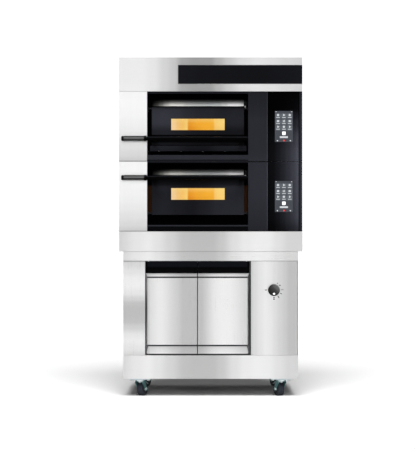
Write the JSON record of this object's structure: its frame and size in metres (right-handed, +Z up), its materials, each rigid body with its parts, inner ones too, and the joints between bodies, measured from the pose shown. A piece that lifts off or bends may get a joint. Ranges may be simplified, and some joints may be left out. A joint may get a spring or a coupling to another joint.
{
  "type": "deck oven with prover",
  "caption": "Two stacked electric deck ovens with bar-handled doors, an extraction hood on top and a heated prover cabinet below, on swivel castors.",
  "frame": {"origin": "on the floor, midway between the sides and midway between the front of the handles and the rear of the exhaust spigot", "axes": "+X to the right seen from the front, the front faces -Y, +Z up"},
  "size_m": [0.99, 0.97, 1.833],
  "materials": {
    "stainless": "brushed",
    "bright_steel": "satin",
    "zinc": "zinc plated",
    "charcoal_paint": "satin powder coat",
    "black_paint": "satin powder coat",
    "control_glass": "gloss black",
    "screen": "gloss",
    "door_glass": "clear",
    "chamber_steel": "heat tinted",
    "refractory": "rough",
    "wool": "matte",
    "element": "oxidised",
    "circuit": "matte",
    "seal": "matte",
    "black_plastic": "matte",
    "grip_plastic": "matte",
    "tread": "matte",
    "lamp_glass": "clear"
  },
  "bodies": {
    "cabinet": {"lower_casing": "stainless", "upper_casing": "stainless", "lower_bay": "black_paint", "upper_bay": "black_paint", "lower_column": "charcoal_paint", "upper_column": "charcoal_paint", "control_glasses": "control_glass", "touchscreens": "screen", "chambers": "chamber_steel", "baking_stones": "refractory", "heating_elements": "element", "insulation": "wool", "chamber_lamps": "lamp_glass", "control_boards": "circuit", "door_seals": "seal", "door_visors": "bright_steel", "upper_sill": "charcoal_paint", "hinge_pins": "zinc", "hood_shell": "stainless", "hood_fascia": "black_paint", "grease_filter": "stainless", "exhaust_spigot": "stainless", "support_frame": "stainless", "prover_shell": "stainless", "prover_liner": "bright_steel", "prover_front": "stainless", "prover_column": "stainless", "prover_plinth": "stainless", "tray_runners": "bright_steel", "humidifier_pan": "bright_steel", "prover_heater": "element", "thermostat": "zinc", "castor_plates": "zinc", "mains_gland": "black_plastic", "bonding_stud": "zinc", "rear_covers": "stainless", "fasteners": "zinc"},
    "lower_oven_door": {"lower_door_panel": "charcoal_paint", "lower_door_glass": "door_glass", "lower_door_back": "stainless", "lower_handle_bar": "black_paint", "lower_handle_grip": "grip_plastic"},
    "upper_oven_door": {"upper_door_panel": "charcoal_paint", "upper_door_glass": "door_glass", "upper_door_back": "stainless", "upper_handle_bar": "black_paint", "upper_handle_grip": "grip_plastic"},
    "left_prover_door": {"prover_door_left": "stainless", "prover_rail_left": "black_plastic"},
    "right_prover_door": {"prover_door_right": "stainless", "prover_rail_right": "black_plastic"},
    "knob": {"thermostat_knob": "black_plastic"},
    "fork_front_left": {"castor_fork_front_left": "zinc"},
    "wheel_front_left": {"castor_wheel_front_left": "tread"},
    "fork_front_right": {"castor_fork_front_right": "zinc"},
    "wheel_front_right": {"castor_wheel_front_right": "tread"},
    "fork_rear_left": {"castor_fork_rear_left": "zinc"},
    "wheel_rear_left": {"castor_wheel_rear_left": "tread"},
    "fork_rear_right": {"castor_fork_rear_right": "zinc"},
    "wheel_rear_right": {"castor_wheel_rear_right": "tread"}
  },
  "joints": [
    {"name": "lower_oven_door_hinge", "type": "hinge", "parent": "cabinet", "child": "lower_oven_door", "pos_m": [-0.069, -0.35, 0.9915], "axis": [1, 0, 0], "range_deg": [0, 85]},
    {"name": "upper_oven_door_hinge", "type": "hinge", "parent": "cabinet", "child": "upper_oven_door", "pos_m": [-0.069, -0.35, 1.5605], "axis": [-1, 0, 0], "range_deg": [0, 85]},
    {"name": "left_prover_door_hinge", "type": "hinge", "parent": "cabinet", "child": "left_prover_door", "pos_m": [-0.336, -0.401, 0.478], "axis": [0, 0, -1], "range_deg": [0, 90]},
    {"name": "right_prover_door_hinge", "type": "hinge", "parent": "cabinet", "child": "right_prover_door", "pos_m": [0.194, -0.401, 0.478], "axis": [0, 0, 1], "range_deg": [0, 90]},
    {"name": "thermostat_turn", "type": "hinge", "parent": "cabinet", "child": "knob", "pos_m": [0.342, -0.43, 0.577], "axis": [0, 1, 0], "range_deg": [0, 300]},
    {"name": "swivel_front_left", "type": "hinge", "parent": "cabinet", "child": "fork_front_left", "pos_m": [-0.383, -0.355, 0.083], "axis": [0, 0, 1], "continuous": true},
    {"name": "roll_front_left", "type": "hinge", "parent": "fork_front_left", "child": "wheel_front_left", "pos_m": [-0.37161, -0.32942, 0.0375], "axis": [0.9135, -0.4067, 0], "continuous": true},
    {"name": "swivel_front_right", "type": "hinge", "parent": "cabinet", "child": "fork_front_right", "pos_m": [0.383, -0.355, 0.083], "axis": [0, 0, 1], "continuous": true},
    {"name": "roll_front_right", "type": "hinge", "parent": "fork_front_right", "child": "wheel_front_right", "pos_m": [0.37161, -0.32942, 0.0375], "axis": [0.9135, 0.4067, 0], "continuous": true},
    {"name": "swivel_rear_left", "type": "hinge", "parent": "cabinet", "child": "fork_rear_left", "pos_m": [-0.383, 0.347, 0.083], "axis": [0, 0, 1], "continuous": true},
    {"name": "roll_rear_left", "type": "hinge", "parent": "fork_rear_left", "child": "wheel_rear_left", "pos_m": [-0.37161, 0.37258, 0.0375], "axis": [0.9135, -0.4067, 0], "continuous": true},
    {"name": "swivel_rear_right", "type": "hinge", "parent": "cabinet", "child": "fork_rear_right", "pos_m": [0.383, 0.347, 0.083], "axis": [0, 0, 1], "continuous": true},
    {"name": "roll_rear_right", "type": "hinge", "parent": "fork_rear_right", "child": "wheel_rear_right", "pos_m": [0.37161, 0.37258, 0.0375], "axis": [0.9135, 0.4067, 0], "continuous": true}
  ]
}
